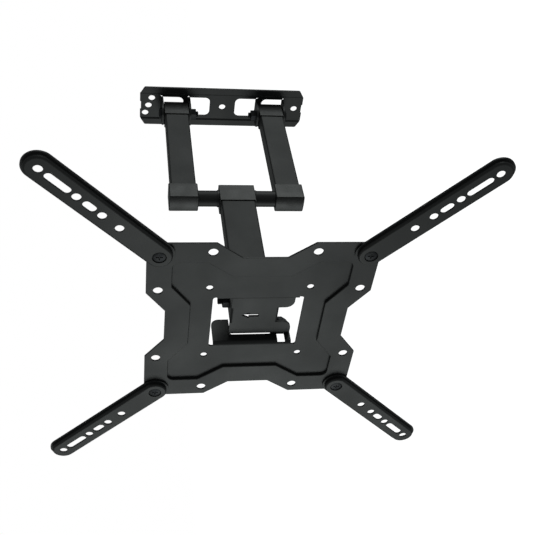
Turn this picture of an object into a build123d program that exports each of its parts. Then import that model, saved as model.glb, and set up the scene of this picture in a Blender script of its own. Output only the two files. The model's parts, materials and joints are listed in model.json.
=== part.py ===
from build123d import *
import math
import os

# Full motion screen mount, in millimetres.
# +Z is up, +Y points into the wall, -Y points out towards the screen, +X is to the right.
# The origin is the centre of the wall plate's back face. Heights that are the same above
# and below the middle are given once, as distances from Z = 0.

# ---- pivots, as distances out from the wall ----
WALL_PIVOT_OUT = 20.0       # wall bolts
WALL_ARM_LENGTH = 173.0     # wall bolts to elbow axle
THIRD_ARM_LENGTH = 165.0    # elbow axle to swivel bolt
HEAD_TO_FACE = 33.15        # swivel bolt to the screen plate's front face
TILT_TO_FACE = 25.45        # tilt bolts to the screen plate's front face
TILT_HEIGHT = -31.0         # height of the tilt bolts
ELBOW_OUT = WALL_PIVOT_OUT + WALL_ARM_LENGTH
HEAD_OUT = ELBOW_OUT + THIRD_ARM_LENGTH
FACE_OUT = HEAD_OUT + HEAD_TO_FACE
TILT_OUT = FACE_OUT - TILT_TO_FACE

# ---- fits ----
RUNNING_GAP = 0.05          # radial play of a bolt or axle that something turns on
BOLT_GAP = 0.1              # radial play of a bolt in a plain hole
SMALL_GAP = 0.3             # sheet metal beside sheet metal
CAP_MOUTH_GAP = 0.6         # the dark gap round a tube at the mouth of its cap
CAP_MOUTH_DEPTH = 2.0
PAST = 5.0                  # how far a cutter runs past what it cuts
TOL = 0.1                   # for picking edges and corners by their place

# ---- wall plate ----
WALL_T = 2.5
WALL_HALF_W = 28.4
WALL_HALF_H = 108.5
WALL_CHAMFER_W = 10.4
WALL_CHAMFER_H = 6.0
WALL_CORNER_R = 2.5
BAND_W = 8.4                # raised strip along each long edge
BAND_RISE = 1.2
BAND_SLOPE = 2.0
END_NOTCH_W = 13.0
END_NOTCH_DEPTH = 1.2
WALL_HOLE_R = 4.35
WALL_SCREW_PITCH = 195.0    # end hole to end hole
LEVEL_HOLE_DX = 11.4        # the two extra holes beside the top one
LEVEL_HOLE_DZ = 4.2
EAR_REACH = 32.5            # ears' free edge, out from the wall
EAR_W = 27.4
EAR_CORNER_R = 9.0
EAR_BEND_R = 2.0
RELIEF_W = 2.4
RELIEF_REACH = 16.0
RELIEF_OFFSET = 1.2         # relief slots' middle beyond the middle of the ear
WINDOW_CORNER_R = 6.5
BEND_SAVING = 1.2           # what an ear gains in length from its bend

# ---- tubes ----
ARM_HEIGHT = 62.0           # middle of a wall arm above or below Z = 0
ARM_TUBE_H = 30.0
ARM_TUBE_W = 20.0
THIRD_TUBE_H = 40.0
THIRD_TUBE_W = 20.0
TUBE_WALL = 1.5
TUBE_CORNER_R = 2.0
TUBE_INNER_R = 0.8
TUBE_PAST_AXIS = 8.5        # how far a tube runs on past its wall bolt or swivel bolt
TUBE_PAST_AXLE = 8.0        # and past the elbow axle

# ---- plastic caps ----
CAP_SIDE = 1.1              # cap wall beside the tube
WALL_CAP_LIP = 0.8          # wall cap's wall above and below the tube
WALL_CAP_LENGTH = 15.5      # pivot to the cap's mouth
WALL_CAP_END = 11.0         # pivot to the cap's flat end face
ELBOW_CAP_LIP = 2.6         # elbow cap's wall on the side away from the third arm
ELBOW_CAP_INNER_LIP = 1.6   # and on the side next to it
ELBOW_CAP_EDGE_R = 1.6
ELBOW_CAP_END_R = 1.0
ELBOW_CAP_NOSE_R = 45.0     # the end face is slightly round about the axle's direction
ELBOW_CAP_LENGTH = 14.4
ELBOW_CAP_END = 11.2        # elbow axle to the flat end face
SLEEVE_LIP = 1.1
SLEEVE_LENGTH = 15.0
SLEEVE_END = 12.5           # elbow axle to the sleeve's flat end face
SLEEVE_WALL = 1.5           # its end wall
HEAD_CAP_LENGTH = 22.0
HEAD_CAP_END = 10.2         # swivel bolt to the head cap's flat end face
CAP_EDGE_R = 0.8
CAP_END_R = 0.7

# ---- wall pivot hardware ----
WALL_BOLT_R = 4.0
WALL_BOLT_HEAD_R = 7.0
WALL_BOLT_HEAD_H = 3.6
WALL_WASHER_T = 0.6
WALL_WASHER_R = 9.6
WALL_BUSH_R = 7.0
WALL_BUSH_BORE_R = WALL_BOLT_R + RUNNING_GAP
NUT_H = 6.6
NUT_FLATS = 13.0
NUT_FACE = 1.04             # chamfer circle of a nut's free face, times half its flats
THREAD_END = 3.2            # thread that shows past a nut
THREAD_CHAMFER = 0.7
DOME_EDGE = 0.6             # part of a domed head's height that is rounded

# ---- elbow hardware ----
AXLE_R = 6.0
AXLE_HEAD_R = 8.5
AXLE_HEAD_T = 1.6
ELBOW_BUSH_R = 8.0
ELBOW_BUSH_BORE_R = AXLE_R + RUNNING_GAP
ELBOW_WASHER_R = 10.2
ELBOW_WASHER_T = 1.7
SPACER_R = 9.5

# ---- swivel bracket ----
BRACKET_T = 2.5
WEB_TO_FACE = 11.95         # web's front face behind the screen plate's front face
BRACKET_HALF_W = 30.3
BRACKET_BEND_R = 4.5
LIP_DEPTH = 5.6
TAB_HALF_W = 11.0
TAB_BEND_R = 0.4
TAB_ROOT = 3.0
LOBE_BOTTOM = -39.8
LOBE_R = 9.0                # rounded corner of each lobe, next to the open middle
LUG_R = 9.4
SWIVEL_WASHER_T = 1.2
SWIVEL_WASHER_R = 9.5
SWIVEL_BOLT_R = 4.0
SWIVEL_HEAD_H = 5.0
SWIVEL_THREAD_END = 5.0
HEAD_BUSH_R = 7.0
HEAD_BUSH_BORE_R = SWIVEL_BOLT_R + RUNNING_GAP
ARROW_MID = 4.6             # height of the arrow's middle
ARROW_LENGTH = 17.7
ARROW_HEAD_LENGTH = 7.6
ARROW_HEAD_W = 8.4
ARROW_SHAFT_W = 4.2

# ---- tilt hardware ----
TILT_WASHER_T = 2.0
TILT_WASHER_R = 8.0
TILT_BOLT_R = 3.0
TILT_HEAD_R = 6.5
TILT_HEAD_H = 3.6
TILT_NUT_H = 5.0
TILT_NUT_FLATS = 10.0
TILT_THREAD_END = 2.2

# ---- screen plate ----
PLATE_T = 1.8
RECESS_DEPTH = 3.0
STEP_WALL = 1.8
STEP_EDGE_R = 1.0
PLATE_WAIST = 92.5          # outline: distance of the waisted sides from the middle
PLATE_WAIST_HALF = 21.6
PLATE_SIDE = 111.5          # outline: distance of the outer sides
PLATE_SIDE_START = 47.0
RECESS_WAIST = 67.6
RECESS_WAIST_HALF = 28.6
RECESS_SIDE = 86.9
RECESS_SIDE_START = 54.8
RECESS_CORNER_R = 7.0
PIVOT_SPACING = 200.0       # extension arm pivots, a square
VESA_300 = 300.0            # square patterns that the extension arms reach
VESA_400 = 400.0
VESA_SMALL = 100.0
VESA_SMALL_HOLE_R = 3.45
VESA_MID_LONG = 200.0
VESA_MID_SHORT = 100.0
VESA_MID_HOLE_R = 4.75
WINDOW_HALF_H = 45.8
PLATE_WINDOW_R = 2.9
EAR_HALF_H = 41.3
TILT_EAR_DEPTH = 36.15      # upper lug's free edge behind the front face
TILT_LUG_R = 10.2
EAR_NOTCH_FLOOR = 14.9
EAR_NOTCH_TOP = 22.5
EAR_NOTCH_R = 2.5
UPPER_LUG_R = 8.0
SQUARE_HALF = 4.1
SQUARE_FRONT = 4.15
SQUARE_BACK = 15.65
TILT_EAR_BEND_R = 4.0

# ---- extension arms ----
EXT_HALF_W = 12.5
EXT_FLANGE = 2.2            # narrow foot all round the arm's base
EXT_T = 1.8
EXT_DEPTH = 6.35
EXT_CLEAR = 0.3             # rim above the screen plate's face
EXT_EDGE_R = 2.2
EXT_HOLE_R = 4.2
EXT_SLOT_R = 3.85
EXT_HOLE_NEAR = 50.0
EXT_HOLE_MIDDLE = 100.0
EXT_SLOTS = ((85.2, 14.0), (120.5, 27.5))
DISH_R = 6.7
DISH_DEPTH = 1.6
DISH_T = 1.6
SCREW_R = 3.0
SCREW_HEAD_R = 6.0
SCREW_HEAD_T = 1.1
SCREW_EDGE = 0.3
SCREW_PAST_NUT = 1.5
CROSS_LENGTH = 6.4
CROSS_W = 1.3
CROSS_DEPTH = 0.7
SPACER_PAD_R = 9.0
ARM_NUT_H = 5.0
ARM_NUT_FLATS = 10.0

# ---- sizes that follow ----
ARM_INNER = ARM_HEIGHT - ARM_TUBE_H / 2
ARM_OUTER = ARM_HEIGHT + ARM_TUBE_H / 2
CAP_HALF_W = ARM_TUBE_W / 2 + CAP_SIDE
WALL_CAP_INNER = ARM_INNER - WALL_CAP_LIP
WALL_CAP_OUTER = ARM_OUTER + WALL_CAP_LIP
INNER_EAR = WALL_CAP_INNER - WALL_WASHER_T       # face of the inner ear towards the arm
OUTER_EAR = WALL_CAP_OUTER + WALL_WASHER_T       # face of the outer ear towards the arm
ELBOW_CAP_INNER = ARM_INNER - ELBOW_CAP_INNER_LIP
ELBOW_CAP_OUTER = ARM_OUTER + ELBOW_CAP_LIP
SLEEVE_HALF_H = THIRD_TUBE_H / 2 + SLEEVE_LIP
SLEEVE_HALF_W = THIRD_TUBE_W / 2 + CAP_SIDE
SPACER_INNER = SLEEVE_HALF_H + ELBOW_WASHER_T
TAB_INNER = SLEEVE_HALF_H + SWIVEL_WASHER_T
TAB_OUTER = TAB_INNER + BRACKET_T
WEB_OUT = FACE_OUT - WEB_TO_FACE
WEB_BACK_OUT = WEB_OUT - BRACKET_T
FLANGE_INNER = BRACKET_HALF_W - BRACKET_T
TILT_EAR_INNER = BRACKET_HALF_W + TILT_WASHER_T
TILT_EAR_OUTER = TILT_EAR_INNER + PLATE_T
WINDOW_HALF_W = TILT_EAR_INNER + TILT_EAR_BEND_R   # the ears bend back from the window's edges
RECESS_OUT = FACE_OUT - RECESS_DEPTH
PIVOT_HALF = PIVOT_SPACING / 2
EXT_HOLES = (
    EXT_HOLE_NEAR,
    (VESA_300 - PIVOT_SPACING) / 2 * math.sqrt(2),
    EXT_HOLE_MIDDLE,
    (VESA_400 - PIVOT_SPACING) / 2 * math.sqrt(2),
)


def save(shape, name):
    """Write one sub-part to its own file."""
    export_step(shape, f"parts/{name}.step")


def solids_of(shapes):
    """Group separate solids into one sub-part."""
    return Compound(children=[s for shape in shapes for s in shape.solids()])


def box(x0, x1, out0, out1, z0, z1):
    """Block between two X, two distances out from the wall, and two heights."""
    block = Box(x1 - x0, out1 - out0, z1 - z0)
    return Pos((x0 + x1) / 2, -(out0 + out1) / 2, (z0 + z1) / 2) * block


def rod_z(x, out, r, z0, z1):
    """Upright round bar."""
    return Pos(x, -out, (z0 + z1) / 2) * Cylinder(r, z1 - z0)


def rod_y(x, z, r, out0, out1):
    """Round bar along Y, between two distances out from the wall."""
    bar = Rot(90, 0, 0) * Cylinder(r, out1 - out0)
    return Pos(x, -(out0 + out1) / 2, z) * bar


def rod_x(out, z, r, x0, x1):
    """Round bar along X."""
    bar = Rot(0, 90, 0) * Cylinder(r, x1 - x0)
    return Pos((x0 + x1) / 2, -out, z) * bar


def ring_z(x, out, r, bore, z0, z1):
    """Upright ring or bush."""
    return rod_z(x, out, r, z0, z1) - rod_z(x, out, bore, z0 - PAST, z1 + PAST)


def ring_x(out, z, r, bore, x0, x1):
    """Washer along X."""
    return rod_x(out, z, r, x0, x1) - rod_x(out, z, bore, x0 - PAST, x1 + PAST)


def hexagon(flats):
    """Regular hexagon from its distance across flats."""
    return RegularPolygon(flats / math.sqrt(3), 6)


def nut(flats, height, bore):
    """Nut standing on Z = 0, its corners chamfered at the free end."""
    face_r = NUT_FACE * flats / 2
    cone = Cone(face_r + height * math.sqrt(3), face_r, height)
    body = extrude(hexagon(flats), height) & Pos(0, 0, height / 2) * cone
    return body - Cylinder(bore, 2 * (height + PAST))


def dome(r, height):
    """Low round head standing on Z = 0."""
    head = Pos(0, 0, height / 2) * Cylinder(r, height)
    return fillet(head.edges().group_by(Axis.Z)[-1], height * DOME_EDGE)


def mirrored_z(shape):
    """The same piece below the middle."""
    return mirror(shape, Plane.XY)


def plate_xz(sketch, front_out, thickness):
    """Sheet standing across Y: a sketch in X and Z, its front face at front_out."""
    back = Plane(origin=(0, -(front_out - thickness), 0), x_dir=(1, 0, 0), z_dir=(0, -1, 0))
    return extrude(back * sketch, thickness)


# ---------------------------------------------------------------- wall plate


def wall_profile():
    """Cross-section of the pressed strip in X and Y: the long edges stand a little forward."""
    inner = WALL_HALF_W - BAND_W
    foot = inner - BAND_SLOPE
    back = [(-WALL_HALF_W, -BAND_RISE), (-inner, -BAND_RISE), (-foot, 0)]
    back += [(foot, 0), (inner, -BAND_RISE), (WALL_HALF_W, -BAND_RISE)]
    front = [(x, y - WALL_T) for x, y in reversed(back)]
    return make_face(Polyline(*back, *front, close=True))


def wall_outline():
    """Face outline of the wall plate with its chamfered corners and end notches."""
    w = WALL_HALF_W
    h = WALL_HALF_H
    cw = w - WALL_CHAMFER_W
    ch = h - WALL_CHAMFER_H
    points = [(w, -ch), (w, ch), (cw, h), (-cw, h), (-w, ch), (-w, -ch), (-cw, -h), (cw, -h)]
    face = make_face(Polyline(*points, close=True))
    face = fillet(face.vertices(), WALL_CORNER_R)
    for side in (1, -1):
        notch = Pos(0, side * h) * Rectangle(END_NOTCH_W, 2 * END_NOTCH_DEPTH)
        face = face - notch
    return face


def wall_ear(face, side):
    """Pivot ear bent out of the plate.

    face is the height of its face towards the window that it was cut from; the bend
    leaves the plate above that, whatever the ear's place. side is 1 above, -1 below.
    """
    outer_r = EAR_BEND_R + WALL_T
    root = face + outer_r
    section = make_face(
        Polyline(
            (0, root), (0, face), (-EAR_REACH, face), (-EAR_REACH, face + WALL_T),
            (-WALL_T, face + WALL_T), (-WALL_T, root), close=True,
        )
    )
    outside = section.vertices().sort_by_distance(Vector(0, face, 0))[0]
    section = fillet(outside, outer_r)
    inside = section.vertices().sort_by_distance(Vector(-WALL_T, face + WALL_T, 0))[0]
    section = fillet(inside, EAR_BEND_R)
    ear = extrude(Plane.YZ * section, EAR_W / 2, both=True)
    trim = Pos(0, (PAST - EAR_REACH) / 2) * Rectangle(EAR_W, EAR_REACH + PAST)
    trim = fillet(trim.vertices().sort_by(Axis.Y)[:2], EAR_CORNER_R)
    ear = ear & Pos(0, 0, face - PAST) * extrude(trim, root - face + 2 * PAST)
    return ear if side > 0 else mirrored_z(ear)


def through_wall(sketch):
    """Cutter through the wall plate from a sketch in X and Z."""
    front = WALL_T + BAND_RISE + PAST
    return plate_xz(sketch, front, front + PAST)


def wall_window(face, side):
    """Cutter for the window that an ear leaves behind, with its bend relief slots."""
    root = face + EAR_BEND_R + WALL_T
    low = face + 2 * WALL_T - EAR_REACH + BEND_SAVING
    hole = Pos(0, (root + low) / 2) * Rectangle(EAR_W + 2 * SMALL_GAP, root - low)
    hole = fillet(hole.vertices().sort_by(Axis.Y)[:2], WINDOW_CORNER_R)
    relief = Pos(0, face + WALL_T / 2 + RELIEF_OFFSET) * SlotOverall(2 * RELIEF_REACH, RELIEF_W)
    cutter = through_wall(hole + relief)
    return cutter if side > 0 else mirrored_z(cutter)


def wall_plate():
    """Pressed wall strip with its screw holes and two pairs of pivot ears."""
    plate = extrude(wall_profile(), WALL_HALF_H + PAST, both=True) & through_wall(wall_outline())
    end_z = WALL_SCREW_PITCH / 2
    holes = [(0, 0), (0, end_z), (0, -end_z)]
    holes += [(LEVEL_HOLE_DX, end_z - LEVEL_HOLE_DZ), (-LEVEL_HOLE_DX, end_z + LEVEL_HOLE_DZ)]
    for x, z in holes:
        plate = plate - rod_y(x, z, WALL_HOLE_R, -PAST, WALL_T + PAST)
    for face in (INNER_EAR - WALL_T, OUTER_EAR):
        for side in (1, -1):
            plate = plate - wall_window(face, side)
            hole = rod_z(0, WALL_PIVOT_OUT, WALL_BOLT_R + BOLT_GAP, -WALL_HALF_H, WALL_HALF_H)
            plate = plate + (wall_ear(face, side) - hole)
    return plate


def wall_pivot_bolt(side):
    """Bolt through both ears, domed head outside, thread end inside."""
    head_z = OUTER_EAR + WALL_T
    end_z = INNER_EAR - WALL_T - NUT_H - THREAD_END
    shank = rod_z(0, WALL_PIVOT_OUT, WALL_BOLT_R, end_z, head_z)
    shank = chamfer(shank.edges().group_by(Axis.Z)[0], THREAD_CHAMFER)
    bolt = shank + Pos(0, -WALL_PIVOT_OUT, head_z) * dome(WALL_BOLT_HEAD_R, WALL_BOLT_HEAD_H)
    return bolt if side > 0 else mirrored_z(bolt)


def wall_pivot_nut(side):
    """Nut on the inner ear, its free end towards the middle."""
    piece = Rot(180, 0, 0) * nut(NUT_FLATS, NUT_H, WALL_BOLT_R)
    piece = Pos(0, -WALL_PIVOT_OUT, INNER_EAR - WALL_T) * piece
    return piece if side > 0 else mirrored_z(piece)


def wall_pivot_washers(side):
    """Thin washers above and below one wall cap."""
    bore = WALL_BOLT_R + BOLT_GAP
    pieces = []
    for low in (INNER_EAR, WALL_CAP_OUTER):
        piece = ring_z(0, WALL_PIVOT_OUT, WALL_WASHER_R, bore, low, low + WALL_WASHER_T)
        pieces.append(piece if side > 0 else mirrored_z(piece))
    return pieces


# ---------------------------------------------------------------- tubes and caps


def bar(width, height, corner_r, out0, out1, z):
    """Rectangular bar with rounded corners, running straight out from the wall."""
    run = Plane(origin=(0, -out0, z), x_dir=(1, 0, 0), z_dir=(0, -1, 0))
    return extrude(run * RectangleRounded(width, height, corner_r), out1 - out0)


def tube(width, height, out0, out1, z):
    """Rectangular steel tube running straight out from the wall."""
    outside = bar(width, height, TUBE_CORNER_R, out0, out1, z)
    inner_w = width - 2 * TUBE_WALL
    inner_h = height - 2 * TUBE_WALL
    return outside - bar(inner_w, inner_h, TUBE_INNER_R, out0 - PAST, out1 + PAST, z)


def wall_arm(side):
    """One wall arm tube, drilled for its bush and for the elbow axle."""
    out0 = WALL_PIVOT_OUT - TUBE_PAST_AXIS
    out1 = ELBOW_OUT + TUBE_PAST_AXLE
    arm = tube(ARM_TUBE_W, ARM_TUBE_H, out0, out1, ARM_HEIGHT)
    arm = arm - rod_z(0, WALL_PIVOT_OUT, WALL_BUSH_R, 0, WALL_HALF_H)
    arm = arm - rod_z(0, ELBOW_OUT, AXLE_R, 0, WALL_HALF_H)
    return arm if side > 0 else mirrored_z(arm)


def tube_pocket(width, height, z, out_end, out_mouth):
    """Cutter for the inside of a cap: the outside of the tube and a wider mouth round it."""
    seat = bar(width, height, TUBE_CORNER_R, min(out_end, out_mouth), max(out_end, out_mouth), z)
    step = math.copysign(CAP_MOUTH_DEPTH, out_mouth - out_end)
    near = out_mouth - step
    far = out_mouth + step
    half_w = width / 2 + CAP_MOUTH_GAP
    half_h = height / 2 + min(CAP_MOUTH_GAP, WALL_CAP_LIP / 2)
    return seat + box(-half_w, half_w, min(near, far), max(near, far), z - half_h, z + half_h)


def square_cap(half_w, z0, z1, end_out, mouth_out, end_r):
    """Square-ended cap body from its end face to its mouth, on the wall side of its mouth."""
    body = box(-half_w, half_w, end_out, mouth_out, z0, z1)
    body = fillet(body.edges().filter_by(Axis.Y), CAP_EDGE_R)
    return fillet(body.faces().sort_by(Axis.Y)[-1].edges(), end_r)


def wall_cap(side):
    """Plastic cap on a wall arm's wall end."""
    mouth = WALL_PIVOT_OUT + WALL_CAP_LENGTH
    end = WALL_PIVOT_OUT - WALL_CAP_END
    body = square_cap(CAP_HALF_W, WALL_CAP_INNER, WALL_CAP_OUTER, end, mouth, CAP_END_R)
    pocket_end = WALL_PIVOT_OUT - TUBE_PAST_AXIS
    body = body - tube_pocket(ARM_TUBE_W, ARM_TUBE_H, ARM_HEIGHT, pocket_end, mouth)
    body = body - rod_z(0, WALL_PIVOT_OUT, WALL_BUSH_R, 0, WALL_HALF_H)
    return body if side > 0 else mirrored_z(body)


def elbow_cap(side):
    """Square-ended plastic cap on a wall arm's elbow end."""
    mouth = ELBOW_OUT - ELBOW_CAP_LENGTH
    end = ELBOW_OUT + ELBOW_CAP_END
    body = box(-CAP_HALF_W, CAP_HALF_W, mouth, end, ELBOW_CAP_INNER, ELBOW_CAP_OUTER)
    body = body & rod_z(0, end - ELBOW_CAP_NOSE_R, ELBOW_CAP_NOSE_R, 0, WALL_HALF_H)
    body = fillet(body.edges().filter_by(Axis.Y), ELBOW_CAP_EDGE_R)
    body = fillet(body.faces().sort_by(Axis.Y)[0].edges(), ELBOW_CAP_END_R)
    pocket_end = ELBOW_OUT + TUBE_PAST_AXLE
    body = body - tube_pocket(ARM_TUBE_W, ARM_TUBE_H, ARM_HEIGHT, pocket_end, mouth)
    body = body - rod_z(0, ELBOW_OUT, SPACER_R, 0, ARM_INNER)
    body = body - rod_z(0, ELBOW_OUT, AXLE_HEAD_R, ARM_HEIGHT, ARM_OUTER + AXLE_HEAD_T)
    return body if side > 0 else mirrored_z(body)


def wall_pivot_bush(side):
    """Steel bush inside a wall arm."""
    piece = ring_z(0, WALL_PIVOT_OUT, WALL_BUSH_R, WALL_BUSH_BORE_R, WALL_CAP_INNER, WALL_CAP_OUTER)
    return piece if side > 0 else mirrored_z(piece)


def elbow_spacer(side):
    """Round spacer between a wall arm and the third arm."""
    piece = ring_z(0, ELBOW_OUT, SPACER_R, AXLE_R, SPACER_INNER, ARM_INNER)
    return piece if side > 0 else mirrored_z(piece)


def elbow_axle():
    """Axle through both wall arms and the third arm, with its upper head."""
    shank = rod_z(0, ELBOW_OUT, AXLE_R, -ARM_OUTER - AXLE_HEAD_T, ARM_OUTER)
    return shank + rod_z(0, ELBOW_OUT, AXLE_HEAD_R, ARM_OUTER, ARM_OUTER + AXLE_HEAD_T)


def elbow_axle_ring():
    """Ring that holds the axle's lower end."""
    return ring_z(0, ELBOW_OUT, AXLE_HEAD_R, AXLE_R, -ARM_OUTER - AXLE_HEAD_T, -ARM_OUTER)


# ---------------------------------------------------------------- third arm


def third_arm_tube():
    """Tall tube from the elbow to the head."""
    out0 = ELBOW_OUT - SLEEVE_END + SLEEVE_WALL
    out1 = HEAD_OUT + TUBE_PAST_AXIS
    arm = tube(THIRD_TUBE_W, THIRD_TUBE_H, out0, out1, 0)
    arm = arm - rod_z(0, ELBOW_OUT, ELBOW_BUSH_R, -THIRD_TUBE_H, THIRD_TUBE_H)
    return arm - rod_z(0, HEAD_OUT, HEAD_BUSH_R, -THIRD_TUBE_H, THIRD_TUBE_H)


def elbow_sleeve():
    """Square-ended plastic cap on the third arm's elbow end."""
    end = ELBOW_OUT - SLEEVE_END
    mouth = ELBOW_OUT + SLEEVE_LENGTH
    body = square_cap(SLEEVE_HALF_W, -SLEEVE_HALF_H, SLEEVE_HALF_H, end, mouth, CAP_END_R)
    body = body - tube_pocket(THIRD_TUBE_W, THIRD_TUBE_H, 0, end + SLEEVE_WALL, mouth)
    return body - rod_z(0, ELBOW_OUT, ELBOW_BUSH_R, -THIRD_TUBE_H, THIRD_TUBE_H)


def head_cap():
    """Square-ended plastic cap on the third arm's head end."""
    mouth = HEAD_OUT - HEAD_CAP_LENGTH
    end = HEAD_OUT + HEAD_CAP_END
    body = box(-SLEEVE_HALF_W, SLEEVE_HALF_W, mouth, end, -SLEEVE_HALF_H, SLEEVE_HALF_H)
    body = fillet(body.edges().filter_by(Axis.Y), CAP_EDGE_R)
    body = fillet(body.faces().sort_by(Axis.Y)[0].edges(), CAP_END_R)
    body = body - tube_pocket(THIRD_TUBE_W, THIRD_TUBE_H, 0, HEAD_OUT + TUBE_PAST_AXIS, mouth)
    return body - rod_z(0, HEAD_OUT, HEAD_BUSH_R, -THIRD_TUBE_H, THIRD_TUBE_H)


def third_arm_bush(axis_out, r, bore):
    """Bush through the third arm, flush with its cap."""
    return ring_z(0, axis_out, r, bore, -SLEEVE_HALF_H, SLEEVE_HALF_H)


def elbow_washer(side):
    """Friction washer between the sleeve and a spacer."""
    piece = ring_z(0, ELBOW_OUT, ELBOW_WASHER_R, AXLE_R + RUNNING_GAP, SLEEVE_HALF_H, SPACER_INNER)
    return piece if side > 0 else mirrored_z(piece)


# ---------------------------------------------------------------- swivel bracket


def bracket_channel():
    """Bent sheet in X and Y: the web with a short curved lip along each side."""
    outer = Rectangle(2 * BRACKET_HALF_W, 2 * TILT_TO_FACE)
    outer = fillet(outer.vertices(), BRACKET_BEND_R)
    inner = Rectangle(2 * FLANGE_INNER, 2 * (TILT_TO_FACE - BRACKET_T))
    inner = fillet(inner.vertices(), BRACKET_BEND_R - BRACKET_T)
    return Pos(0, -(WEB_OUT - TILT_TO_FACE)) * (outer - inner)


def bracket_side_view():
    """What is kept of the channel in Y and Z: short lips above, round lugs below."""
    top = TAB_OUTER
    lip_out = WEB_OUT - LIP_DEPTH
    web = Pos(-(WEB_OUT + lip_out) / 2, (top + LOBE_BOTTOM) / 2)
    web = web * Rectangle(WEB_OUT - lip_out, top - LOBE_BOTTOM)
    lug = Pos(-TILT_OUT, TILT_HEIGHT) * Circle(LUG_R)
    neck_out = WEB_OUT - LIP_DEPTH / 2
    neck = Pos(-(neck_out + TILT_OUT) / 2, TILT_HEIGHT)
    neck = neck * Rectangle(neck_out - TILT_OUT, 2 * LUG_R)
    return web + neck + lug


def bracket_tab(side):
    """Tab bent back over or under the third arm, with the strip of web it is bent from."""
    root = TAB_INNER - TAB_ROOT
    section = make_face(
        Polyline(
            (-WEB_OUT, root), (-WEB_OUT, TAB_OUTER), (-HEAD_OUT, TAB_OUTER),
            (-HEAD_OUT, TAB_INNER), (-WEB_BACK_OUT, TAB_INNER), (-WEB_BACK_OUT, root), close=True,
        )
    )
    outside = section.vertices().sort_by_distance(Vector(-WEB_OUT, TAB_OUTER, 0))[0]
    section = fillet(outside, TAB_BEND_R + BRACKET_T)
    inside = section.vertices().sort_by_distance(Vector(-WEB_BACK_OUT, TAB_INNER, 0))[0]
    section = fillet(inside, TAB_BEND_R)
    tab = extrude(Plane.YZ * section, TAB_HALF_W, both=True)
    tab = tab + rod_z(0, HEAD_OUT, TAB_HALF_W, TAB_INNER, TAB_OUTER)
    tab = tab - rod_z(0, HEAD_OUT, SWIVEL_BOLT_R + BOLT_GAP, 0, TAB_OUTER + PAST)
    return tab if side > 0 else mirrored_z(tab)


def arrow():
    """Arrow that points up, in X and Z."""
    tip = ARROW_MID + ARROW_LENGTH / 2
    shoulder = tip - ARROW_HEAD_LENGTH
    tail = ARROW_MID - ARROW_LENGTH / 2
    head = ARROW_HEAD_W / 2
    shaft = ARROW_SHAFT_W / 2
    right = [(0, tip), (head, shoulder), (shaft, shoulder), (shaft, tail)]
    left = [(-x, z) for x, z in reversed(right[1:])]
    return make_face(Polyline(*right, *left, close=True))


def swivel_bracket():
    """Bent sheet that turns on the third arm and carries the tilt bolts."""
    low = LOBE_BOTTOM - PAST
    channel = Pos(0, 0, low) * extrude(bracket_channel(), TAB_OUTER + PAST - low)
    body = channel & extrude(Plane.YZ * bracket_side_view(), BRACKET_HALF_W + PAST, both=True)
    root = TAB_INNER - TAB_ROOT
    body = body - box(-TAB_HALF_W, TAB_HALF_W, 0, FACE_OUT, low, -root)
    body = body - box(-TAB_HALF_W, TAB_HALF_W, 0, FACE_OUT, root, TAB_OUTER + PAST)
    for side in (1, -1):
        corner = Pos(side * (TAB_HALF_W + LOBE_R / 2), LOBE_BOTTOM + LOBE_R / 2)
        corner = corner * Rectangle(LOBE_R, LOBE_R)
        corner = corner - Pos(side * (TAB_HALF_W + LOBE_R), LOBE_BOTTOM + LOBE_R) * Circle(LOBE_R)
        body = body - plate_xz(corner, WEB_OUT + PAST, BRACKET_T + 2 * PAST)
        body = body + bracket_tab(side)
    body = body - plate_xz(arrow(), WEB_OUT + PAST, BRACKET_T + 2 * PAST)
    half = BRACKET_HALF_W + PAST
    return body - rod_x(TILT_OUT, TILT_HEIGHT, TILT_BOLT_R + BOLT_GAP, -half, half)


def swivel_bolt():
    """Bolt up through the bracket and the third arm, its head below."""
    top = TAB_OUTER + NUT_H + SWIVEL_THREAD_END
    shank = rod_z(0, HEAD_OUT, SWIVEL_BOLT_R, -TAB_OUTER, top)
    shank = chamfer(shank.edges().group_by(Axis.Z)[-1], THREAD_CHAMFER)
    head = Rot(180, 0, 0) * nut(NUT_FLATS, SWIVEL_HEAD_H, SWIVEL_BOLT_R)
    head = Pos(0, -HEAD_OUT, -TAB_OUTER) * head
    return shank + head + rod_z(0, HEAD_OUT, SWIVEL_BOLT_R, -TAB_OUTER - SWIVEL_HEAD_H, 0)


def swivel_nut():
    """Nut above the bracket's upper tab."""
    return Pos(0, -HEAD_OUT, TAB_OUTER) * nut(NUT_FLATS, NUT_H, SWIVEL_BOLT_R)


def swivel_washer(side):
    """Washer between the head cap and a tab."""
    bore = SWIVEL_BOLT_R + BOLT_GAP
    piece = ring_z(0, HEAD_OUT, SWIVEL_WASHER_R, bore, SLEEVE_HALF_H, TAB_INNER)
    return piece if side > 0 else mirrored_z(piece)


# ---------------------------------------------------------------- tilt hardware


def on_right(shape, side):
    """The same piece on the right (side 1) or mirrored to the left (side -1)."""
    return shape if side > 0 else mirror(shape, Plane.YZ)


def tilt_bolt(side):
    """Bolt through an ear and a lug, domed head outside, thread end inside."""
    end = FLANGE_INNER - TILT_NUT_H - TILT_THREAD_END
    shank = rod_x(TILT_OUT, TILT_HEIGHT, TILT_BOLT_R, end, TILT_EAR_OUTER)
    shank = chamfer(shank.edges().group_by(Axis.X)[0], THREAD_CHAMFER)
    head = Pos(TILT_EAR_OUTER, -TILT_OUT, TILT_HEIGHT) * Rot(0, 90, 0)
    return on_right(shank + head * dome(TILT_HEAD_R, TILT_HEAD_H), side)


def tilt_nut(side):
    """Nut inside a lug."""
    place = Pos(FLANGE_INNER, -TILT_OUT, TILT_HEIGHT) * Rot(0, -90, 0)
    return on_right(place * nut(TILT_NUT_FLATS, TILT_NUT_H, TILT_BOLT_R + RUNNING_GAP), side)


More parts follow.
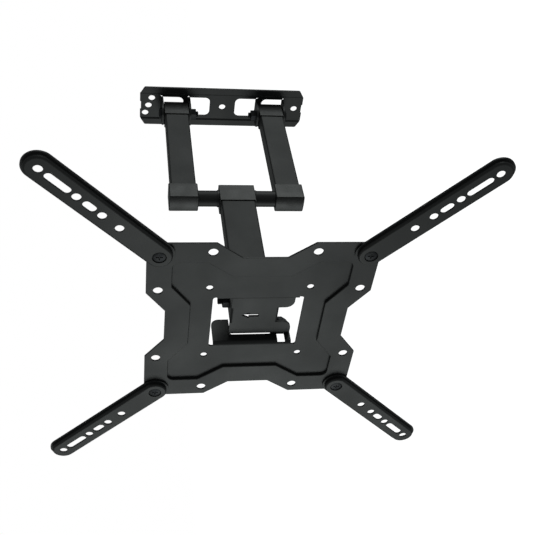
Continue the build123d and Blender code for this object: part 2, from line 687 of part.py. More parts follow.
def tilt_washer(side):
    """Friction washer between a lug and an ear."""
    bore = TILT_BOLT_R + BOLT_GAP
    piece = ring_x(TILT_OUT, TILT_HEIGHT, TILT_WASHER_R, bore, BRACKET_HALF_W, TILT_EAR_INNER)
    return on_right(piece, side)


# ---------------------------------------------------------------- screen plate


def waisted_outline(waist, waist_half, side, side_start, corner_r):
    """Four-cornered outline in X and Z whose sides are drawn in at the middle."""
    quarter = [(waist, waist_half), (side, side_start), (side, side)]
    quarter = quarter + [(side_start, side), (waist_half, waist)]
    points = quarter + [(-x, z) for x, z in reversed(quarter)]
    points = points + [(x, -z) for x, z in reversed(points)]
    face = make_face(Polyline(*points, close=True))
    tips = [v for v in face.vertices() if min(abs(v.X), abs(v.Y)) > side - TOL]
    return fillet(tips, corner_r)


def plate_outline():
    """Outline of the screen plate, its corners rounded about the arm pivots."""
    corner_r = PLATE_SIDE - PIVOT_HALF
    return waisted_outline(
        PLATE_WAIST, PLATE_WAIST_HALF, PLATE_SIDE, PLATE_SIDE_START, corner_r
    )


def recess_outline(grow):
    """Outline of the recessed middle, grown outwards by grow."""
    face = waisted_outline(
        RECESS_WAIST, RECESS_WAIST_HALF, RECESS_SIDE, RECESS_SIDE_START, RECESS_CORNER_R
    )
    return offset(face, grow, kind=Kind.INTERSECTION) if grow else face


def tilt_ear_outline():
    """Ear in Y and Z: a round lug about the tilt bolt, a notch for the arm, an upper lug."""
    back = FACE_OUT - TILT_EAR_DEPTH
    floor = FACE_OUT - EAR_NOTCH_FLOOR
    lug_top = TILT_HEIGHT + TILT_LUG_R
    root = RECESS_OUT + PAST
    base = Pos(-(floor + root) / 2, 0) * Rectangle(root - floor, 2 * EAR_HALF_H)
    upper = Pos(-(back + root) / 2, (EAR_HALF_H + EAR_NOTCH_TOP) / 2)
    upper = upper * Rectangle(root - back, EAR_HALF_H - EAR_NOTCH_TOP)
    tip = [v for v in upper.vertices() if v.X > -(back + TOL) and v.Y > EAR_HALF_H - TOL]
    upper = fillet(tip, UPPER_LUG_R)
    lower = Pos(-(TILT_OUT + root) / 2, TILT_HEIGHT) * Rectangle(root - TILT_OUT, 2 * TILT_LUG_R)
    lower = lower + Pos(-TILT_OUT, TILT_HEIGHT) * Circle(TILT_LUG_R)
    whole = base + upper + lower
    inner = [v for v in whole.vertices() if abs(v.X + floor) < TOL
             and (abs(v.Y - EAR_NOTCH_TOP) < TOL or abs(v.Y - lug_top) < TOL)]
    return fillet(inner, EAR_NOTCH_R)


def tilt_ear(side):
    """Ear bent back from the window's edge."""
    bend = TILT_EAR_BEND_R
    far = FACE_OUT - TILT_EAR_DEPTH - PAST
    x0 = TILT_EAR_INNER
    front = RECESS_OUT
    section = make_face(
        Polyline(
            (x0 + bend, -front), (x0, -front), (x0, -far), (x0 + PLATE_T, -far),
            (x0 + PLATE_T, -(front - PLATE_T)), (x0 + bend, -(front - PLATE_T)), close=True,
        )
    )
    outside = section.vertices().sort_by_distance(Vector(x0, -front, 0))[0]
    section = fillet(outside, bend)
    inside = section.vertices().sort_by_distance(Vector(x0 + PLATE_T, -(front - PLATE_T), 0))[0]
    section = fillet(inside, bend - PLATE_T)
    ear = extrude(section, EAR_HALF_H + PAST, both=True)
    ear = ear & extrude(Plane.YZ * tilt_ear_outline(), TILT_EAR_OUTER + bend + PAST)
    square = box(x0 - PAST, x0 + bend, FACE_OUT - SQUARE_BACK, FACE_OUT - SQUARE_FRONT,
                 TILT_HEIGHT - SQUARE_HALF, TILT_HEIGHT + SQUARE_HALF)
    ear = ear - square
    bolt = rod_x(TILT_OUT, TILT_HEIGHT, TILT_BOLT_R + RUNNING_GAP, x0 - PAST, x0 + bend)
    return on_right(ear - bolt, side)


def plate_holes():
    """Screw holes of the screen plate, as (x, z, radius)."""
    small = VESA_SMALL / 2
    far = VESA_MID_LONG / 2
    near = VESA_MID_SHORT / 2
    holes = []
    for sx in (1, -1):
        for sz in (1, -1):
            holes.append((sx * small, sz * small, VESA_SMALL_HOLE_R))
            holes.append((sx * far, sz * near, VESA_MID_HOLE_R))
            holes.append((sx * near, sz * far, VESA_MID_HOLE_R))
            holes.append((sx * PIVOT_HALF, sz * PIVOT_HALF, SCREW_R + BOLT_GAP))
    return holes


def vesa_plate():
    """Screen plate: flat border, stepped-in middle, window and two tilt ears."""
    border = plate_xz(plate_outline() - recess_outline(0), FACE_OUT, PLATE_T)
    wall = plate_xz(recess_outline(STEP_WALL) - recess_outline(0), FACE_OUT, RECESS_DEPTH + PLATE_T)
    middle = plate_xz(recess_outline(0), RECESS_OUT, PLATE_T)
    plate = border + wall + middle
    lip = [e for e in plate.edges() if abs(e.center().Y + FACE_OUT) < TOL
           and max(abs(e.center().X), abs(e.center().Z)) < RECESS_SIDE + TOL]
    plate = fillet(lip, STEP_EDGE_R)
    window = Rectangle(2 * WINDOW_HALF_W, 2 * WINDOW_HALF_H)
    window = fillet(window.vertices(), PLATE_WINDOW_R)
    through = RECESS_DEPTH + PLATE_T + 2 * PAST
    plate = plate - plate_xz(window, FACE_OUT + PAST, through)
    for side in (1, -1):
        plate = plate + tilt_ear(side)
    for x, z, r in plate_holes():
        plate = plate - rod_y(x, z, r, FACE_OUT + PAST - through, FACE_OUT + PAST)
    return plate


# ---------------------------------------------------------------- extension arms


def arm_outline(half_w, start, end):
    """Long round-ended strip along X."""
    length = end - start + 2 * half_w
    return Pos((start + end) / 2, 0) * SlotOverall(length, half_w * 2)


def extension_arm():
    """Shallow tray with a narrow foot, along +X from its pivot, standing on Z = 0."""
    end = EXT_HOLES[-1]
    through = 2 * (EXT_DEPTH + PAST)
    body = extrude(arm_outline(EXT_HALF_W, 0, end), EXT_DEPTH)
    body = fillet(body.edges().group_by(Axis.Z)[-1], EXT_EDGE_R)
    body = body + extrude(arm_outline(EXT_HALF_W + EXT_FLANGE, 0, end), EXT_T)
    hollow = extrude(arm_outline(EXT_HALF_W - EXT_T, 0, end), EXT_DEPTH - EXT_T)
    body = body - hollow
    dish_floor = EXT_DEPTH - DISH_DEPTH - DISH_T
    boss_h = EXT_DEPTH - dish_floor
    boss = Pos(0, 0, dish_floor + boss_h / 2) * Cylinder(DISH_R + DISH_T, boss_h)
    body = body + (boss & extrude(arm_outline(EXT_HALF_W - EXT_T, 0, end), EXT_DEPTH))
    body = body - Pos(0, 0, EXT_DEPTH) * Cylinder(DISH_R, 2 * DISH_DEPTH)
    body = body - Cylinder(SCREW_R + RUNNING_GAP, through)
    for along in EXT_HOLES:
        body = body - Pos(along, 0, 0) * Cylinder(EXT_HOLE_R, through)
    for middle, length in EXT_SLOTS:
        slot = extrude(SlotOverall(length, 2 * EXT_SLOT_R), through, both=True)
        body = body - Pos(middle, 0, 0) * slot
    return body


def at_pivot(shape, sx, sz, angle):
    """Stand a piece made on the XY plane at an arm pivot, its +Z facing out."""
    middle = (sx * PIVOT_HALF, -FACE_OUT, sz * PIVOT_HALF)
    face = Plane(origin=middle, x_dir=(1, 0, 0), z_dir=(0, -1, 0))
    return face.location * (Rot(0, 0, angle) * shape)


def arm_pivot_screw():
    """Cross-head screw in the arm's dish."""
    floor = EXT_CLEAR + EXT_DEPTH - DISH_DEPTH
    head = Pos(0, 0, floor + SCREW_HEAD_T / 2) * Cylinder(SCREW_HEAD_R, SCREW_HEAD_T)
    head = chamfer(head.edges().group_by(Axis.Z)[-1], SCREW_EDGE)
    low = -PLATE_T - ARM_NUT_H - SCREW_PAST_NUT
    shank = Pos(0, 0, (low + floor) / 2) * Cylinder(SCREW_R, floor - low)
    screw = shank + head
    top = floor + SCREW_HEAD_T
    groove = Pos(0, 0, top) * Box(CROSS_LENGTH, CROSS_W, 2 * CROSS_DEPTH)
    for angle in (0, 90):
        screw = screw - Rot(0, 0, angle) * groove
    return screw


def arm_pivot_spacer():
    """Spacer between the screen plate and the underside of the arm's dish."""
    top = EXT_CLEAR + EXT_DEPTH - DISH_DEPTH - DISH_T
    pad = Pos(0, 0, top / 2) * Cylinder(SPACER_PAD_R, top)
    return pad - Cylinder(SCREW_R + BOLT_GAP, 2 * (top + PAST))


def arm_pivot_nut():
    """Nut behind the screen plate."""
    return Pos(0, 0, -PLATE_T) * Rot(180, 0, 0) * nut(ARM_NUT_FLATS, ARM_NUT_H, SCREW_R)


CORNERS = {
    "upper_right": (1, 1),
    "upper_left": (-1, 1),
    "lower_left": (-1, -1),
    "lower_right": (1, -1),
}


def corner_angle(sx, sz):
    """Direction of the arm that points away from the middle, in degrees."""
    return math.degrees(math.atan2(sz, sx))


# ---------------------------------------------------------------- write the parts

os.makedirs("parts", exist_ok=True)

save(wall_plate(), "wall_plate")
save(solids_of([wall_pivot_bolt(s) for s in (1, -1)]), "wall_pivot_bolts")
save(solids_of([wall_pivot_nut(s) for s in (1, -1)]), "wall_pivot_nuts")
save(solids_of(wall_pivot_washers(1) + wall_pivot_washers(-1)), "wall_pivot_washers")

for word, s in (("upper", 1), ("lower", -1)):
    save(wall_arm(s), f"wall_arm_{word}")
    save(wall_cap(s), f"wall_cap_{word}")
    save(elbow_cap(s), f"elbow_cap_{word}")
    save(elbow_spacer(s), f"elbow_spacer_{word}")
save(solids_of([wall_pivot_bush(s) for s in (1, -1)]), "wall_pivot_bushes")
save(elbow_axle(), "elbow_axle")
save(elbow_axle_ring(), "elbow_axle_ring")

save(third_arm_tube(), "third_arm_tube")
save(elbow_sleeve(), "elbow_sleeve")
save(head_cap(), "head_cap")
save(third_arm_bush(ELBOW_OUT, ELBOW_BUSH_R, ELBOW_BUSH_BORE_R), "elbow_bush")
save(third_arm_bush(HEAD_OUT, HEAD_BUSH_R, HEAD_BUSH_BORE_R), "head_bush")
save(solids_of([elbow_washer(s) for s in (1, -1)]), "elbow_washers")

save(swivel_bracket(), "swivel_bracket")
save(swivel_bolt(), "swivel_bolt")
save(swivel_nut(), "swivel_nut")
save(solids_of([swivel_washer(s) for s in (1, -1)]), "swivel_washers")
save(solids_of([tilt_nut(s) for s in (1, -1)]), "tilt_nuts")

save(vesa_plate(), "vesa_plate")
save(solids_of([tilt_bolt(s) for s in (1, -1)]), "tilt_bolts")
save(solids_of([tilt_washer(s) for s in (1, -1)]), "tilt_washers")

arm_piece = extension_arm()
for word, (sx, sz) in CORNERS.items():
    placed = Pos(0, 0, EXT_CLEAR) * arm_piece
    save(at_pivot(placed, sx, sz, corner_angle(sx, sz)), f"extension_arm_{word}")
pivots = list(CORNERS.values())
screw = arm_pivot_screw()
save(solids_of([at_pivot(screw, x, z, 0) for x, z in pivots]), "arm_pivot_screws")
save(solids_of([at_pivot(arm_pivot_spacer(), x, z, 0) for x, z in pivots]), "arm_pivot_spacers")
save(solids_of([at_pivot(arm_pivot_nut(), x, z, 0) for x, z in pivots]), "arm_pivot_nuts")
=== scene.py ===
import json
import math

import bmesh
import bpy
from mathutils import Matrix, Vector


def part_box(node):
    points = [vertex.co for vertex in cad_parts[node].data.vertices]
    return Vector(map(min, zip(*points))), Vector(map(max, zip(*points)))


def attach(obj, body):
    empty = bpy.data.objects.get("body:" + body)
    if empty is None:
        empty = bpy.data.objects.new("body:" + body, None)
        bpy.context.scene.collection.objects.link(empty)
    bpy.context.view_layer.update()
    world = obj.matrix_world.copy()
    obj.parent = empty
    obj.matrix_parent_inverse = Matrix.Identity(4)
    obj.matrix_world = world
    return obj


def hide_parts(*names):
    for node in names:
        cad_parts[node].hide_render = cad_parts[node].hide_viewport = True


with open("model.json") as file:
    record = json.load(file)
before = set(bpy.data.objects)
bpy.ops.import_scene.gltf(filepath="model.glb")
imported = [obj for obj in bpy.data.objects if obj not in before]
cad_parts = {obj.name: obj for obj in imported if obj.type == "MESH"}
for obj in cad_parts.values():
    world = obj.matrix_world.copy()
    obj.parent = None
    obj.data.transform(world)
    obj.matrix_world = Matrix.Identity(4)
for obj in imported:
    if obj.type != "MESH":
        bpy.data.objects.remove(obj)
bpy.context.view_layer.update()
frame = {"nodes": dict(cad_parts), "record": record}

MM = 0.001
CLOUD_BAND = {"From_Min": 0.3, "From_Max": 0.7}   # where a noise pattern's values mostly lie
WAVE_BANDS = 20 / (2 * math.pi)   # bands that a wave pattern draws in one unit of its scale
FACTOR, COLOUR_A, COLOUR_B, MIXED = 0, 6, 7, 2   # sockets of a colour mix


# ---------------------------------------------------------------- colours and nodes


def linear(hex_colour):
    """An sRGB hex colour as linear red, green, blue and alpha."""
    values = [int(hex_colour[i:i + 2], 16) / 255 for i in (1, 3, 5)]
    return [v / 12.92 if v <= 0.04045 else ((v + 0.055) / 1.055) ** 2.4 for v in values] + [1.0]


def add(tree, kind, links=None, **settings):
    """Add a node: settings are its own or its sockets' values, links are socket to output."""
    node = tree.nodes.new("ShaderNode" + kind)
    for name, value in settings.items():
        if hasattr(node, name):
            setattr(node, name, value)
        else:
            node.inputs[name.replace("_", " ")].default_value = value
    for socket, output in (links or {}).items():
        tree.links.new(output, node.inputs[socket])
    return node


def repeats(mm, in_one_unit=1.0):
    """The scale that draws a pattern's grains or lines this many millimetres apart."""
    return float(round(1000 / (mm * in_one_unit)))


def new_material(name, **settings):
    """An empty material with its shader and output; settings are the shader's constant sockets."""
    material = bpy.data.materials.new(name)
    material.use_nodes = True
    tree = material.node_tree
    tree.nodes.clear()
    shader = add(tree, "BsdfPrincipled")
    for socket, value in settings.items():
        shader.inputs[socket.replace("_", " ")].default_value = value
    out = add(tree, "OutputMaterial")
    tree.links.new(shader.outputs["BSDF"], out.inputs["Surface"])
    return material, tree, shader


def ramp(tree, factor, low, high):
    """A colour between two sRGB hex colours."""
    node = add(tree, "ValToRGB", {"Fac": factor})
    node.color_ramp.elements[0].color = linear(low)
    node.color_ramp.elements[1].color = linear(high)
    return node.outputs["Color"]


def edge_wear_and_highlight(tree, rounded, place, amount):
    """How much a point is painted lighter, as edge wear and a painted highlight: 0 on a flat face, up to
    amount in patches along a corner.
    """
    flat = add(tree, "NewGeometry").outputs["Normal"]
    lined_up = add(tree, "VectorMath", {0: rounded, 1: flat}, operation="DOT_PRODUCT")
    near = add(tree, "MapRange", {"Value": lined_up.outputs["Value"]}, From_Min=0.995,
               From_Max=0.9, To_Min=0.0, To_Max=amount)
    patch = add(tree, "TexNoise", {"Vector": place}, Scale=repeats(8.33), Detail=4.0)
    broken = add(tree, "MapRange", {"Value": patch.outputs["Fac"]}, From_Min=0.4, From_Max=0.6)
    both = add(tree, "Math", {0: near.outputs["Result"], 1: broken.outputs["Result"]},
               operation="MULTIPLY")
    return both.outputs["Value"]


def bumps(tree, start, layers):
    """Stack bump layers on a normal: each is (height output, strength, depth in metres)."""
    normal = start
    for height, strength, depth in layers:
        node = add(tree, "Bump", {"Height": height, "Normal": normal}, Strength=strength,
                   Distance=depth)
        normal = node.outputs["Normal"]
    return normal


def finish(tree, shader, colour, wear_and_highlight_colour, wear_and_highlight, rough, worn_rough, normal):
    """Join colour, roughness and bump to the shader, each changed along the edges, where wear and a
    painted highlight make the colour lighter.
    """
    mix = add(tree, "Mix", data_type="RGBA")
    for socket, output in ((FACTOR, wear_and_highlight), (COLOUR_A, colour)):
        tree.links.new(output, mix.inputs[socket])
    mix.inputs[COLOUR_B].default_value = linear(wear_and_highlight_colour)
    tree.links.new(mix.outputs[MIXED], shader.inputs["Base Color"])
    blend = add(tree, "MapRange", {"Value": wear_and_highlight, "To Min": rough}, To_Max=worn_rough)
    tree.links.new(blend.outputs["Result"], shader.inputs["Roughness"])
    tree.links.new(normal, shader.inputs["Normal"])


def powder_coated_steel():
    """Polyester powder sprayed dry and baked on pressed steel.

    It gives the eye an even satin-matt black with a very fine orange peel, a soft bright line along
    every folded or blanked edge, partly lit and partly a painted highlight, and faint cloudy changes of
    gloss.
    """
    material, tree, shader = new_material("powder_coated_steel_baked_black", IOR=1.5)
    place = add(tree, "TexCoord").outputs["Object"]
    rounded = add(tree, "Bevel", Radius=0.0003, samples=8).outputs["Normal"]
    cloud = add(tree, "TexNoise", {"Vector": place}, Scale=repeats(62.5), Detail=3.0).outputs["Fac"]
    # Orange peel is about 1.4 mm from crest to crest. The grains of powder are far finer and
    # are drawn coarser than they are, so that they show.
    peel = add(tree, "TexNoise", {"Vector": place}, Scale=repeats(1.429), Detail=2.0).outputs["Fac"]
    grain = add(tree, "TexNoise", {"Vector": place}, Scale=repeats(0.3846), Detail=1.0).outputs["Fac"]
    rough = add(tree, "MapRange", {"Value": cloud}, **CLOUD_BAND, To_Min=0.47, To_Max=0.56)
    colour = ramp(tree, cloud, "#151617", "#1c1d1e")
    # Painted highlight: the edges are painted lighter along the rims, with a little wear.
    wear_and_highlight = edge_wear_and_highlight(tree, rounded, place, 0.2)
    normal = bumps(tree, rounded, ((peel, 0.2, 0.00012), (grain, 0.2, 0.00003)))
    finish(tree, shader, colour, "#3b3c3d", wear_and_highlight, rough.outputs["Result"], 0.38, normal)
    return material


def moulded_cap():
    """Black polypropylene, injection moulded against a spark-eroded tool.

    It gives the eye a smoother, greasier black than the steel beside it, with a fine
    pebbled grain, slow waves where it shrank over its ribs, and polished corners, smoother and with a
    painted sheen.
    """
    material, tree, shader = new_material("polypropylene_injection_moulded_black", IOR=1.49)
    place = add(tree, "TexCoord").outputs["Object"]
    rounded = add(tree, "Bevel", Radius=0.0004, samples=8).outputs["Normal"]
    # The spark-eroded grain is drawn coarser than it is, so that it shows.
    pebble = add(tree, "TexVoronoi", {"Vector": place}, Scale=repeats(0.7143)).outputs["Distance"]
    sink = add(tree, "TexNoise", {"Vector": place}, Scale=repeats(18.2), Detail=1.0).outputs["Fac"]
    rough = add(tree, "MapRange", {"Value": sink}, **CLOUD_BAND, To_Min=0.34, To_Max=0.44)
    colour = ramp(tree, sink, "#121213", "#171718")
    # Corners are painted lighter: polish, and a painted sheen.
    wear_and_highlight = edge_wear_and_highlight(tree, rounded, place, 0.35)
    normal = bumps(tree, rounded, ((sink, 0.15, 0.001), (pebble, 0.2, 0.00008)))
    finish(tree, shader, colour, "#2a2a2b", wear_and_highlight, rough.outputs["Result"], 0.28, normal)
    return material


def black_zinc():
    """Rolled and headed steel, barrel plated in zinc and passivated black.

    It gives the eye a dark metal with faintly brown and blue clouds, fine tumbling
    scratches, and grey zinc showing through on the corners.
    """
    material, tree, shader = new_material("zinc_plated_steel_black_passivated", Metallic=1.0)
    place = add(tree, "TexCoord").outputs["Object"]
    rounded = add(tree, "Bevel", Radius=0.0003, samples=6).outputs["Normal"]
    cloud = add(tree, "TexNoise", {"Vector": place}, Scale=repeats(5.56), Detail=3.0).outputs["Fac"]
    # Tumbling scratches are finer than this and are drawn coarser, so that they show.
    stretched = add(tree, "Mapping", {"Vector": place}, Scale=(1.0, 1.0, 9.0))
    scratch = add(tree, "TexNoise", {"Vector": stretched.outputs["Vector"]}, Scale=repeats(0.6667),
                  Detail=2.0).outputs["Fac"]
    rough = add(tree, "MapRange", {"Value": cloud}, **CLOUD_BAND, To_Min=0.4, To_Max=0.54)
    colour = ramp(tree, cloud, "#2b2a29", "#333539")
    wear_and_highlight = edge_wear_and_highlight(tree, rounded, place, 0.35)
    normal = bumps(tree, rounded, ((scratch, 0.2, 0.00005),))
    finish(tree, shader, colour, "#8b8c8e", wear_and_highlight, rough.outputs["Result"], 0.26, normal)
    return material


def turned_steel():
    """Mild steel bar turned on a lathe, left bare with a film of grease.

    It gives the eye a bright grey metal whose highlight is drawn out by fine tool rings.
    """
    material, tree, shader = new_material("mild_steel_turned_bare", Metallic=1.0)
    place = add(tree, "TexCoord").outputs["Object"]
    rounded = add(tree, "Bevel", Radius=0.0003, samples=6).outputs["Normal"]
    # Tool rings are drawn a little further apart than a finishing cut leaves them.
    ring = add(tree, "TexWave", {"Vector": place}, bands_direction="Z", Scale=repeats(0.349, WAVE_BANDS),
               Distortion=1.5).outputs["Fac"]
    film = add(tree, "TexNoise", {"Vector": place}, Scale=repeats(11.1), Detail=3.0).outputs["Fac"]
    rough = add(tree, "MapRange", {"Value": film}, **CLOUD_BAND, To_Min=0.2, To_Max=0.36)
    colour = ramp(tree, film, "#a3a2a0", "#bcbcbb")
    # Edges are painted lighter: wear, and a painted highlight.
    wear_and_highlight = edge_wear_and_highlight(tree, rounded, place, 0.6)
    normal = bumps(tree, rounded, ((ring, 0.2, 0.00004),))
    finish(tree, shader, colour, "#d6d6d4", wear_and_highlight, rough.outputs["Result"], 0.16, normal)
    return material


def moulded_nylon():
    """Black nylon washer, injection moulded and rubbed by the parts it keeps apart.

    It gives the eye a dull black edge with grey polish where it has turned, partly a painted sheen.
    """
    material, tree, shader = new_material("nylon_injection_moulded_black", IOR=1.53)
    place = add(tree, "TexCoord").outputs["Object"]
    rounded = add(tree, "Bevel", Radius=0.0002, samples=6).outputs["Normal"]
    rub = add(tree, "TexNoise", {"Vector": place}, Scale=repeats(3.85), Detail=3.0).outputs["Fac"]
    rough = add(tree, "MapRange", {"Value": rub}, **CLOUD_BAND, To_Min=0.4, To_Max=0.6)
    colour = ramp(tree, rub, "#161616", "#222223")
    # Turned edges are painted lighter: polish, and a painted sheen.
    wear_and_highlight = edge_wear_and_highlight(tree, rounded, place, 0.4)
    normal = bumps(tree, rounded, ((rub, 0.15, 0.0001),))
    finish(tree, shader, colour, "#333334", wear_and_highlight, rough.outputs["Result"], 0.3, normal)
    return material


FINISHES = {
    "black_powder_coat": powder_coated_steel(),
    "black_cap_plastic": moulded_cap(),
    "black_zinc_fastener": black_zinc(),
    "plain_steel": turned_steel(),
    "black_nylon": moulded_nylon(),
}
for part in frame["record"]["subparts"]:
    mesh = frame["nodes"][part["node"]].data
    mesh.materials.clear()
    mesh.materials.append(FINISHES[part["material_slot"]])


# ---------------------------------------------------------------- bolts and screws


def round_ring(height, r):
    """A ring of a turned shape: its height, and its radius at any angle."""
    return height, lambda turn: r


def hex_ring(height, flats):
    """A six-sided ring."""
    sixth = math.pi / 3
    return height, lambda turn: flats / 2 / math.cos((turn + sixth / 2) % sixth - sixth / 2)


def cross_ring(height, length, width):
    """A cross-shaped ring, its bars along the two local axes."""
    def radius(turn):
        off = (turn + math.pi / 4) % (math.pi / 2) - math.pi / 4
        side = width / 2 / max(abs(math.sin(off)), 1e-6)
        return min(length / 2 / math.cos(off), side)
    return height, radius


def thread_ring(height, r, depth, pitch):
    """One slice of a screw thread."""
    def radius(turn):
        phase = (height / pitch - turn / (2 * math.pi)) % 1.0
        return r - depth * abs(2 * phase - 1)
    return height, radius


def threaded(r, pitch, length):
    """Rings of a chamfered thread end, from height 0 up."""
    slices_a_turn = 6
    depth = 0.6 * pitch
    chamfer = 0.2 * pitch
    rings = [round_ring(0.0, r - depth - chamfer)]
    count = round(slices_a_turn * length / pitch)
    for step in range(1, count):
        rings.append(thread_ring(step * length / count, r, depth, pitch))
    return rings


def button_head(low, r, height, flats, depth):
    """Rings of a low round head standing on low, with a six-sided socket."""
    rings = [round_ring(low, r)]
    rim = 0.4 * height
    for step in range(0, 7):
        angle = step * math.pi / 12
        reach = r - 0.6 * r * (1 - math.cos(angle))
        rings.append(round_ring(low + rim + (height - rim) * math.sin(angle), reach * 0.999))
    top = low + height
    rings += [round_ring(top, 0.62 * flats), hex_ring(top - 0.2 * MM, flats)]
    rings.append(hex_ring(top - depth, flats))
    return rings


def add_lathe(shape, rings, place, steps):
    """Add one closed turned solid to a bmesh: its rings, then a point in the middle of each end."""
    rows = []
    for height, radius in rings:
        row = []
        for step in range(steps):
            turn = 2 * math.pi * step / steps
            r = radius(turn)
            point = Vector((r * math.cos(turn), r * math.sin(turn), height))
            row.append(shape.verts.new(place @ point))
        rows.append(row)
    for low, high in zip(rows, rows[1:]):
        for step in range(steps):
            after = (step + 1) % steps
            shape.faces.new((low[step], low[after], high[after], high[step]))
    for row, height in ((rows[0], rings[0][0]), (rows[-1], rings[-1][0])):
        middle = shape.verts.new(place @ Vector((0, 0, height)))
        for step in range(steps):
            shape.faces.new((row[step], row[(step + 1) % steps], middle))


SHARP_CORNER = math.radians(32)


def turned_piece(name, body, nodes, rings, places, steps=72):
    """Make a set of the same turned solid, standing for CAD nodes."""
    shape = bmesh.new()
    for place in places:
        add_lathe(shape, rings, place, steps)
    bmesh.ops.recalc_face_normals(shape, faces=shape.faces)
    mesh = bpy.data.meshes.new(name)
    shape.to_mesh(mesh)
    shape.free()
    mesh.shade_smooth()
    mesh.set_sharp_from_angle(angle=SHARP_CORNER)
    mesh.materials.append(FINISHES["black_zinc_fastener"])
    piece = bpy.data.objects.new(name, mesh)
    bpy.context.scene.collection.objects.link(piece)
    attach(piece, body)
    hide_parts(*nodes)


def middle_of(box):
    """Middle of a node's box."""
    low, high = box
    return [(a + b) / 2 for a, b in zip(low, high)]


def upright(x, y, z, way):
    """Stand a turned solid at a point: way 1 is upwards, -1 is downwards."""
    turn = Matrix.Identity(4) if way > 0 else Matrix.Rotation(math.pi, 4, "X")
    return Matrix.Translation((x, y, z)) @ turn


M8_R = 3.97 * MM
M8_PITCH = 1.25 * MM
M8_THREAD = 11.0 * MM
M8_BUTTON_SOCKET = (5.0 * MM, 2.2 * MM)   # across the flats, depth
M6_R = 2.97 * MM
M6_PITCH = 1.0 * MM
M6_THREAD = 8.0 * MM
M6_BUTTON_SOCKET = (4.0 * MM, 2.0 * MM)
BUTTON_HEIGHT = 3.6 * MM
M8_END_BELOW_NUT_FACE = 9.8 * MM   # through the nut and a little past it
M6_END_BELOW_NUT_FACE = 7.2 * MM


def wall_pivot_bolts():
    """Two button-head bolts, heads outside, thread ends towards the middle."""
    low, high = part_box("wall_pivot_bolts")
    nut_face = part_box("wall_pivot_nuts")[1][2]
    _, y, _ = middle_of((low, high))
    start = nut_face - M8_END_BELOW_NUT_FACE
    length = high[2] - start
    rings = threaded(M8_R, M8_PITCH, M8_THREAD)
    neck = length - BUTTON_HEIGHT
    rings += [round_ring(M8_THREAD, M8_R), round_ring(neck, M8_R)]
    rings += button_head(neck, high[0], BUTTON_HEIGHT, *M8_BUTTON_SOCKET)
    turned_piece("wall_pivot_bolts_threaded", "wall_plate", ["wall_pivot_bolts"], rings,
                 [upright(0, y, start, 1), upright(0, y, -start, -1)])


def swivel_bolt():
    """Hexagon bolt up through the bracket, thread end above."""
    low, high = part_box("swivel_bolt")
    x, y, _ = middle_of((low, high))
    length = high[2] - low[2]
    flats = high[1] - low[1]
    rings = threaded(M8_R, M8_PITCH, M8_THREAD)
    neck = length - 5.0 * MM
    rings += [round_ring(M8_THREAD, M8_R), round_ring(neck, M8_R)]
    rings += [hex_ring(neck, flats), hex_ring(length - 0.5 * MM, flats)]
    rings += [round_ring(length - 0.02 * MM, 0.48 * flats), round_ring(length, 0.45 * flats)]
    turned_piece("swivel_bolt_threaded", "swivel_head", ["swivel_bolt"], rings,
                 [upright(x, y, high[2], -1)])


def tilt_bolts():
    """Two button-head bolts through the ears, thread ends inside."""
    low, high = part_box("tilt_bolts")
    nut_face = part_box("tilt_nuts")[1][0]
    _, y, z = middle_of((low, high))
    start = nut_face - M6_END_BELOW_NUT_FACE
    length = high[0] - start
    rings = threaded(M6_R, M6_PITCH, M6_THREAD)
    neck = length - BUTTON_HEIGHT
    rings += [round_ring(M6_THREAD, M6_R), round_ring(neck, M6_R)]
    rings += button_head(neck, (high[1] - low[1]) / 2, BUTTON_HEIGHT, *M6_BUTTON_SOCKET)
    places = [Matrix.Translation((side * start, y, z)) @ Matrix.Rotation(side * math.pi / 2, 4, "Y")
              for side in (1, -1)]
    turned_piece("tilt_bolts_threaded", "screen_plate", ["tilt_bolts"], rings, places)


def arm_pivot_screws():
    """Four cross-recessed screws, their thread ends behind the screen plate."""
    low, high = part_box("arm_pivot_screws")
    head_r = 6.0 * MM
    half = high[0] - head_r
    top = high[1] - low[1]
    neck = top - 1.1 * MM
    rings = threaded(M6_R, M6_PITCH, M6_THREAD)
    rings += [round_ring(M6_THREAD, M6_R), round_ring(neck, M6_R)]
    rings += [round_ring(neck, head_r), round_ring(top - 0.35 * MM, head_r)]
    rings += [round_ring(top - 0.1 * MM, head_r - 0.12 * MM), round_ring(top, head_r - 0.35 * MM)]
    rings += [cross_ring(top, 6.6 * MM, 1.2 * MM), cross_ring(top - 0.9 * MM, 5.8 * MM, 0.9 * MM)]
    face = Matrix.Rotation(math.pi / 2, 4, "X")
    places = [Matrix.Translation((sx * half, high[1], sz * half)) @ face
              for sx in (1, -1) for sz in (1, -1)]
    turned_piece("arm_pivot_screws_recessed", "screen_plate", ["arm_pivot_screws"], rings,
                 places, 96)


wall_pivot_bolts()
swivel_bolt()
tilt_bolts()
arm_pivot_screws()


# ---------------------------------------------------------------- floor, light, camera


LAMP_COLOUR = (0.94, 1.0, 0.982)   # a slightly cool studio lamp
WORLD_STRENGTH = 0.19
SOFTBOX_SIDE = 1.3


def floor():
    """Wide plain floor well below the mount, which hangs on a wall."""
    size = 14.0
    level = -1.2
    mesh = bpy.data.meshes.new("floor")
    corners = [(-size, -size, level), (size, -size, level), (size, size, level),
               (-size, size, level)]
    mesh.from_pydata(corners, [], [(0, 1, 2, 3)])
    plane = bpy.data.objects.new("floor", mesh)
    bpy.context.scene.collection.objects.link(plane)
    material, _, shader = new_material("pale_studio_floor", Roughness=0.9)
    shader.inputs["Base Color"].default_value = linear("#f7f7f7")
    shader.inputs["Emission Color"].default_value = linear("#ffffff")
    shader.inputs["Emission Strength"].default_value = 0.9
    mesh.materials.append(material)
    plane.visible_diffuse = False
    plane.visible_glossy = False


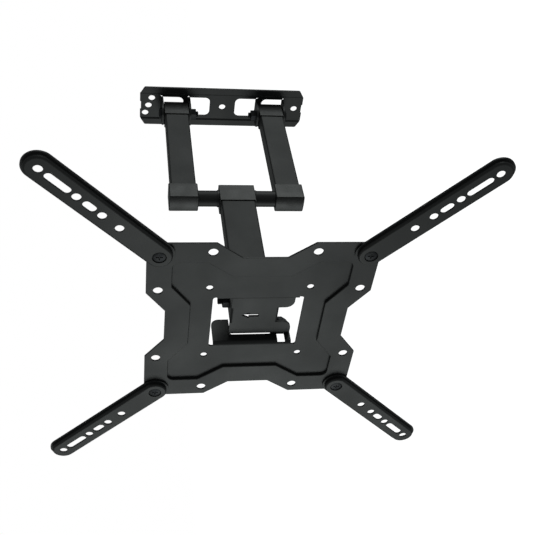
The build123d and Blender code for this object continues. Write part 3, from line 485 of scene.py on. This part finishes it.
def softbox(name, place, size, power, target=(0, -0.25, 0)):
    """Square area light at a place, facing the target."""
    data = bpy.data.lights.new(name, "AREA")
    data.size = size
    data.energy = power
    data.color = LAMP_COLOUR
    lamp = bpy.data.objects.new(name, data)
    bpy.context.scene.collection.objects.link(lamp)
    lamp.location = place
    lamp.visible_camera = False
    lamp.rotation_euler = (Vector(target) - Vector(place)).to_track_quat("-Z", "Y").to_euler()


def surroundings(strength):
    """Plain white world: what the camera sees is white, what lights the object is dimmer."""
    world = bpy.data.worlds.new("studio")
    bpy.context.scene.world = world
    world.use_nodes = True
    tree = world.node_tree
    tree.nodes.clear()
    seen = add(tree, "Background", Strength=1.0, Color=(1, 1, 1, 1))
    lit = add(tree, "Background", Strength=strength, Color=(*LAMP_COLOUR, 1))
    path = add(tree, "LightPath")
    mix = add(tree, "MixShader", {"Fac": path.outputs["Is Camera Ray"]})
    tree.links.new(lit.outputs[0], mix.inputs[1])
    tree.links.new(seen.outputs[0], mix.inputs[2])
    out = add(tree, "OutputWorld")
    tree.links.new(mix.outputs[0], out.inputs["Surface"])


def camera():
    """Camera at the side and a little above, rolled a quarter turn."""
    data = bpy.data.cameras.new("camera")
    data.sensor_width = 36.0
    data.lens = 57.497
    data.shift_x = -0.014932
    data.shift_y = -0.002578
    data.clip_start = 0.01
    data.clip_end = 50.0
    right = Vector((0.11779, -0.13229, -0.98419)).normalized()
    forward = Vector((-0.68756, 0.70424, -0.17694)).normalized()
    up = right.cross(forward).normalized()
    right = forward.cross(up).normalized()
    turn = Matrix((right, up, -forward)).transposed().to_4x4()
    cam = bpy.data.objects.new("camera", data)
    cam.matrix_world = Matrix.Translation((0.641566, -0.964421, 0.133629)) @ turn
    bpy.context.scene.collection.objects.link(cam)
    bpy.context.scene.camera = cam


camera()
floor()
surroundings(WORLD_STRENGTH)
softbox("front_softbox", (-1.688, -1.938, -0.253), SOFTBOX_SIDE, 11.6)
softbox("side_softbox", (1.765, 1.338, -0.353), SOFTBOX_SIDE, 10.8)
bpy.context.scene.view_settings.view_transform = "Standard"
